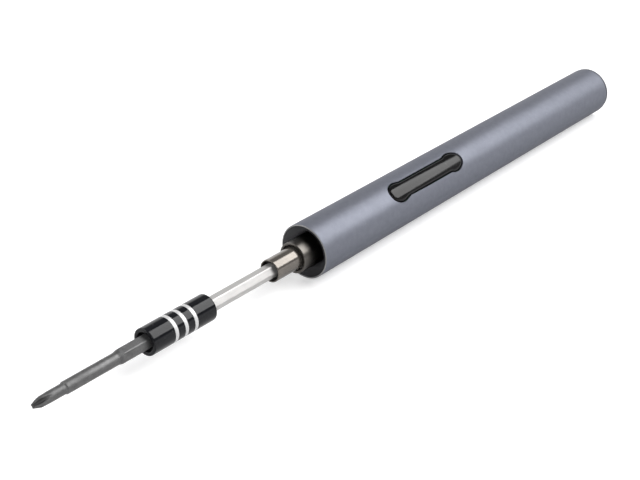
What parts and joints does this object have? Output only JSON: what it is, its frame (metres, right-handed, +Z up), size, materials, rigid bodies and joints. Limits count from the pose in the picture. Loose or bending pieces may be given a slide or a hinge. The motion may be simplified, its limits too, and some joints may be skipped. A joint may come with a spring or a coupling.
{
  "type": "electric screwdriver",
  "caption": "Pen-shaped cordless electric screwdriver: round metal handle with a dog-bone rocker, geared hex chuck, pull-out extension rod with ringed sleeve, and a cross-tip bit.",
  "frame": {"origin": "middle of the tool's length, on the surface it lies on, under the handle's axis", "axes": "+X along the tool towards the tail, +Z up; the rocker faces 39 degrees from +Z towards -Y"},
  "size_m": [0.2712, 0.017, 0.017],
  "materials": {
    "tube": "bead-blasted slate grey anodised aluminium",
    "nose_black": "black moulded plastic",
    "lens_clear": "clear moulded lens",
    "board_green": "green soldermask",
    "lamp_yellow": "phosphor-coated lamp chip",
    "collar_steel": "turned steel, dark nickel finish",
    "bronze": "sintered bronze",
    "spindle_steel": "polished turned steel",
    "gear_steel": "machined steel",
    "magnet_nickel": "nickel-plated magnet",
    "motor_steel": "zinc-plated drawn steel",
    "ferrite": "sintered ferrite",
    "lamination": "stacked steel laminations",
    "copper": "copper",
    "brass": "cut brass",
    "motor_plastic": "white moulded plastic",
    "chassis_black": "black moulded plastic",
    "chip_black": "black moulded package",
    "plunger_white": "pale moulded plastic",
    "rocker_grey": "satin dark grey moulding",
    "cell_blue": "shrink-wrapped cell",
    "tab_nickel": "nickel strip",
    "socket_steel": "plated folded steel",
    "lead_red": "insulated wire",
    "rod_steel": "bright drawn steel",
    "sleeve_dark": "dark anodised aluminium",
    "band_bright": "bright turned aluminium",
    "bit_steel": "matt grey alloy steel"
  },
  "bodies": {
    "handle": {"handle_tube": "tube", "tail_cap": "tube", "nose_bezel": "nose_black", "lamp_lenses": "lens_clear", "lamp_board": "board_green", "lamp_chips": "lamp_yellow", "gearbox_housing": "collar_steel", "spindle_bush": "bronze", "thrust_washer": "gear_steel", "gearbox_end_plate": "gear_steel", "motor_can": "motor_steel", "motor_bushes": "bronze", "motor_magnets": "ferrite", "motor_end_bell": "motor_plastic", "motor_brushes": "copper", "motor_terminals": "copper", "chassis": "chassis_black", "main_board": "board_green", "board_screws": "gear_steel", "board_parts": "chip_black", "switch_bodies": "chip_black", "rocker_bracket": "gear_steel", "rocker_pin": "gear_steel", "battery_cell": "cell_blue", "battery_tabs": "tab_nickel", "charge_board": "board_green", "charge_socket": "socket_steel", "charge_tongue": "chip_black", "motor_leads": "lead_red", "battery_leads": "lead_red", "charge_leads": "lead_red"},
    "spindle": {"chuck_spindle": "spindle_steel", "spindle_clip": "gear_steel", "chuck_magnet": "magnet_nickel", "second_planet_pins": "gear_steel"},
    "carrier": {"first_carrier": "gear_steel", "first_planet_pins": "gear_steel"},
    "rotor": {"motor_shaft": "gear_steel", "armature_core": "lamination", "armature_coils": "copper", "commutator": "copper", "motor_pinion": "brass"},
    "rocker": {"rocker_button": "rocker_grey"},
    "front_switch": {"front_plunger": "plunger_white"},
    "rear_switch": {"rear_plunger": "plunger_white"},
    "extension": {"extension_rod": "rod_steel", "extension_sleeve": "sleeve_dark", "sleeve_bands": "band_bright", "extension_magnet": "magnet_nickel"},
    "bit": {"driver_bit": "bit_steel"},
    "first_planet_1": {"first_planet_1": "gear_steel"},
    "first_planet_2": {"first_planet_2": "gear_steel"},
    "first_planet_3": {"first_planet_3": "gear_steel"},
    "second_planet_1": {"second_planet_1": "gear_steel"},
    "second_planet_2": {"second_planet_2": "gear_steel"},
    "second_planet_3": {"second_planet_3": "gear_steel"}
  },
  "joints": [
    {"name": "spindle_spin", "type": "hinge", "parent": "handle", "child": "spindle", "pos_m": [-0.03297, 0, 0.0085], "axis": [1, 0, 0], "continuous": true},
    {"name": "carrier_spin", "type": "hinge", "parent": "handle", "child": "carrier", "pos_m": [-0.03297, 0, 0.0085], "axis": [1, 0, 0], "continuous": true},
    {"name": "rotor_spin", "type": "hinge", "parent": "handle", "child": "rotor", "pos_m": [-0.03297, 0, 0.0085], "axis": [1, 0, 0], "continuous": true},
    {"name": "second_planet_1_spin", "type": "hinge", "parent": "spindle", "child": "second_planet_1", "pos_m": [-0.03297, -0.00227, 0.0113], "axis": [1, 0, 0], "continuous": true},
    {"name": "second_planet_2_spin", "type": "hinge", "parent": "spindle", "child": "second_planet_2", "pos_m": [-0.03297, -0.00129, 0.00514], "axis": [1, 0, 0], "continuous": true},
    {"name": "second_planet_3_spin", "type": "hinge", "parent": "spindle", "child": "second_planet_3", "pos_m": [-0.03297, 0.00356, 0.00906], "axis": [1, 0, 0], "continuous": true},
    {"name": "first_planet_1_spin", "type": "hinge", "parent": "carrier", "child": "first_planet_1", "pos_m": [-0.03297, -0.00227, 0.0113], "axis": [1, 0, 0], "continuous": true},
    {"name": "first_planet_2_spin", "type": "hinge", "parent": "carrier", "child": "first_planet_2", "pos_m": [-0.03297, -0.00129, 0.00514], "axis": [1, 0, 0], "continuous": true},
    {"name": "first_planet_3_spin", "type": "hinge", "parent": "carrier", "child": "first_planet_3", "pos_m": [-0.03297, 0.00356, 0.00906], "axis": [1, 0, 0], "continuous": true},
    {"name": "rocker_tilt", "type": "hinge", "parent": "handle", "child": "rocker", "pos_m": [0.02162, -0.00321, 0.01246], "axis": [0, 0.7771, 0.6293], "range_deg": [-2, 2], "stiffness_Nm_per_rad": 0.2},
    {"name": "front_switch_press", "type": "slide", "parent": "handle", "child": "front_switch", "axis": [0, 0.6293, -0.7771], "range_m": [0, 0.00025], "stiffness_N_per_m": 1000},
    {"name": "rear_switch_press", "type": "slide", "parent": "handle", "child": "rear_switch", "axis": [0, 0.6293, -0.7771], "range_m": [0, 0.00025], "stiffness_N_per_m": 1000},
    {"name": "extension_pull", "type": "slide", "parent": "spindle", "child": "extension", "axis": [-1, 0, 0], "range_m": [0, 0.014]},
    {"name": "bit_pull", "type": "slide", "parent": "extension", "child": "bit", "axis": [-1, 0, 0], "range_m": [0, 0.009]}
  ],
  "couplings": [
    {"joint": "carrier_spin", "follows": "spindle_spin", "ratio": 4},
    {"joint": "rotor_spin", "follows": "spindle_spin", "ratio": 16},
    {"joint": "second_planet_1_spin", "follows": "spindle_spin", "ratio": -3},
    {"joint": "second_planet_2_spin", "follows": "spindle_spin", "ratio": -3},
    {"joint": "second_planet_3_spin", "follows": "spindle_spin", "ratio": -3},
    {"joint": "first_planet_1_spin", "follows": "spindle_spin", "ratio": -12},
    {"joint": "first_planet_2_spin", "follows": "spindle_spin", "ratio": -12},
    {"joint": "first_planet_3_spin", "follows": "spindle_spin", "ratio": -12}
  ]
}
